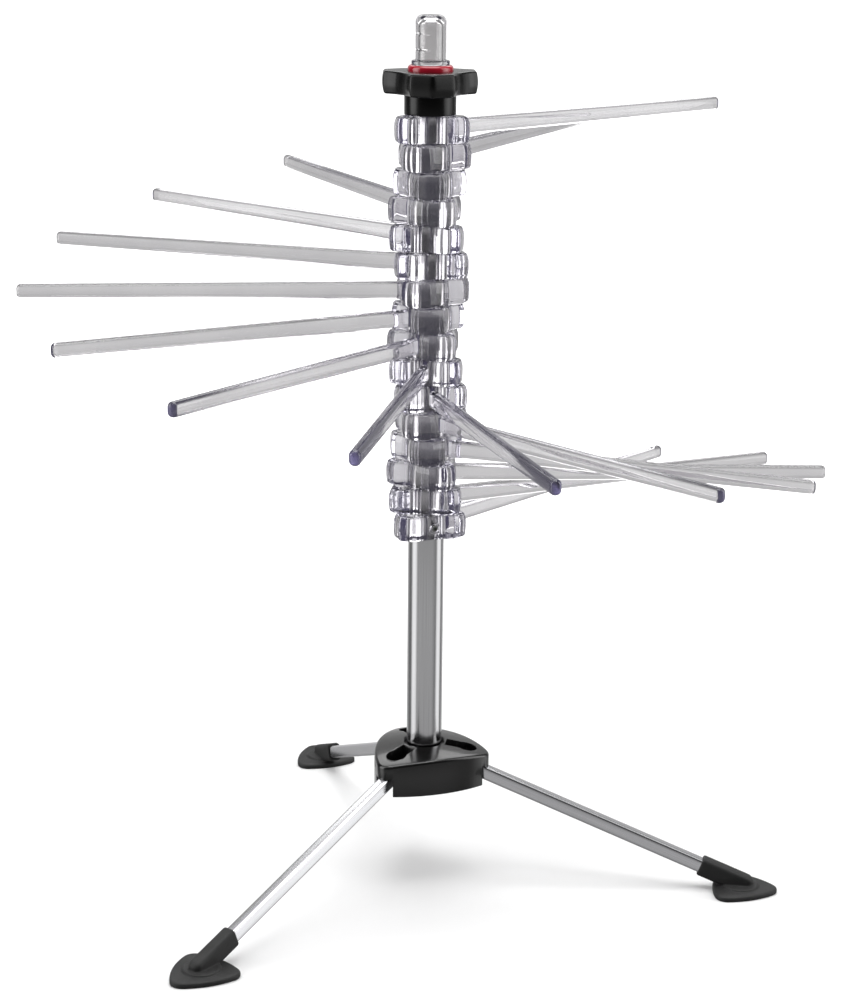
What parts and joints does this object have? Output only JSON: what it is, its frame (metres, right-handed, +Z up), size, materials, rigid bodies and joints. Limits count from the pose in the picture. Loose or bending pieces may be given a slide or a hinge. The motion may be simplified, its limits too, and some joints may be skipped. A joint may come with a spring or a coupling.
{
  "type": "pasta drying rack",
  "caption": "Folding pasta drying rack: clear arms fan out in a spiral round a steel column on folding legs, with a clamping knob and a pasta wand stored in the column.",
  "frame": {"origin": "on the floor, on the column's axis", "axes": "+Z up along the column; +X to the right and +Y away from a viewer standing where the picture was taken"},
  "size_m": [0.4482, 0.4475, 0.4938],
  "materials": {
    "clear_plastic": "clear polished moulding",
    "black_plastic": "satin moulding",
    "foot_plastic": "matte",
    "satin_steel": "bright satin",
    "brushed_column": "satin",
    "screw_steel": "plain",
    "red_ring": "satin"
  },
  "bodies": {
    "stand": {"base_hub": "black_plastic", "column_tube": "brushed_column", "set_screw": "screw_steel", "arm_16": "clear_plastic", "pivot_pin_1": "screw_steel", "pivot_pin_2": "screw_steel", "pivot_pin_3": "screw_steel"},
    "collar": {"clamp_collar": "black_plastic"},
    "knob": {"knob": "black_plastic", "red_band": "red_ring"},
    "wand": {"wand": "clear_plastic"},
    "arm_01": {"arm_01": "clear_plastic"},
    "arm_02": {"arm_02": "clear_plastic"},
    "arm_03": {"arm_03": "clear_plastic"},
    "arm_04": {"arm_04": "clear_plastic"},
    "arm_05": {"arm_05": "clear_plastic"},
    "arm_06": {"arm_06": "clear_plastic"},
    "arm_07": {"arm_07": "clear_plastic"},
    "arm_08": {"arm_08": "clear_plastic"},
    "arm_09": {"arm_09": "clear_plastic"},
    "arm_10": {"arm_10": "clear_plastic"},
    "arm_11": {"arm_11": "clear_plastic"},
    "arm_12": {"arm_12": "clear_plastic"},
    "arm_13": {"arm_13": "clear_plastic"},
    "arm_14": {"arm_14": "clear_plastic"},
    "arm_15": {"arm_15": "clear_plastic"},
    "leg_1": {"leg_tube_1": "satin_steel", "leg_eye_1": "black_plastic", "foot_1": "foot_plastic"},
    "leg_2": {"leg_tube_2": "satin_steel", "leg_eye_2": "black_plastic", "foot_2": "foot_plastic"},
    "leg_3": {"leg_tube_3": "satin_steel", "leg_eye_3": "black_plastic", "foot_3": "foot_plastic"}
  },
  "joints": [
    {"name": "arm_15_turn", "type": "hinge", "parent": "stand", "child": "arm_15", "pos_m": [0, 0, 0.3], "axis": [0, 0, 1], "range_deg": [0, 24.6]},
    {"name": "arm_14_turn", "type": "hinge", "parent": "arm_15", "child": "arm_14", "pos_m": [0, 0, 0.3], "axis": [0, 0, 1], "range_deg": [0, 24.6]},
    {"name": "arm_13_turn", "type": "hinge", "parent": "arm_14", "child": "arm_13", "pos_m": [0, 0, 0.3], "axis": [0, 0, 1], "range_deg": [0, 24.6]},
    {"name": "arm_12_turn", "type": "hinge", "parent": "arm_13", "child": "arm_12", "pos_m": [0, 0, 0.3], "axis": [0, 0, 1], "range_deg": [0, 24.6]},
    {"name": "arm_11_turn", "type": "hinge", "parent": "arm_12", "child": "arm_11", "pos_m": [0, 0, 0.3], "axis": [0, 0, 1], "range_deg": [0, 24.6]},
    {"name": "arm_10_turn", "type": "hinge", "parent": "arm_11", "child": "arm_10", "pos_m": [0, 0, 0.3], "axis": [0, 0, 1], "range_deg": [0, 24.6]},
    {"name": "arm_09_turn", "type": "hinge", "parent": "arm_10", "child": "arm_09", "pos_m": [0, 0, 0.3], "axis": [0, 0, 1], "range_deg": [0, 24.6]},
    {"name": "arm_08_turn", "type": "hinge", "parent": "arm_09", "child": "arm_08", "pos_m": [0, 0, 0.3], "axis": [0, 0, 1], "range_deg": [0, 24.6]},
    {"name": "arm_07_turn", "type": "hinge", "parent": "arm_08", "child": "arm_07", "pos_m": [0, 0, 0.3], "axis": [0, 0, 1], "range_deg": [0, 24.6]},
    {"name": "arm_06_turn", "type": "hinge", "parent": "arm_07", "child": "arm_06", "pos_m": [0, 0, 0.3], "axis": [0, 0, 1], "range_deg": [0, 24.6]},
    {"name": "arm_05_turn", "type": "hinge", "parent": "arm_06", "child": "arm_05", "pos_m": [0, 0, 0.3], "axis": [0, 0, 1], "range_deg": [0, 24.6]},
    {"name": "arm_04_turn", "type": "hinge", "parent": "arm_05", "child": "arm_04", "pos_m": [0, 0, 0.3], "axis": [0, 0, 1], "range_deg": [0, 24.6]},
    {"name": "arm_03_turn", "type": "hinge", "parent": "arm_04", "child": "arm_03", "pos_m": [0, 0, 0.3], "axis": [0, 0, 1], "range_deg": [0, 24.6]},
    {"name": "arm_02_turn", "type": "hinge", "parent": "arm_03", "child": "arm_02", "pos_m": [0, 0, 0.3], "axis": [0, 0, 1], "range_deg": [0, 24.6]},
    {"name": "arm_01_turn", "type": "hinge", "parent": "arm_02", "child": "arm_01", "pos_m": [0, 0, 0.3], "axis": [0, 0, 1], "range_deg": [0, 24.6]},
    {"name": "leg_1_fold", "type": "hinge", "parent": "stand", "child": "leg_1", "pos_m": [0.02371, -0.00375, 0.06709], "axis": [0.1564, 0.9877, 0], "range_deg": [0, 69]},
    {"name": "leg_2_fold", "type": "hinge", "parent": "stand", "child": "leg_2", "pos_m": [-0.0086, 0.02241, 0.06709], "axis": [-0.9336, -0.3584, 0], "range_deg": [0, 69]},
    {"name": "leg_3_fold", "type": "hinge", "parent": "stand", "child": "leg_3", "pos_m": [-0.0151, -0.01865, 0.06709], "axis": [0.7771, -0.6293, 0], "range_deg": [0, 69]},
    {"name": "collar_lift", "type": "slide", "parent": "stand", "child": "collar", "axis": [0, 0, 1], "range_m": [0, 0.0015]},
    {"name": "knob_turn", "type": "hinge", "parent": "collar", "child": "knob", "pos_m": [0, 0, 0.457], "axis": [0, 0, 1], "range_deg": [0, 360]},
    {"name": "wand_draw", "type": "slide", "parent": "knob", "child": "wand", "axis": [0, 0, 1], "range_m": [0, 0.25]}
  ],
  "couplings": [
    {"joint": "collar_lift", "follows": "knob_turn", "m_per_rad": 0.0002387}
  ]
}
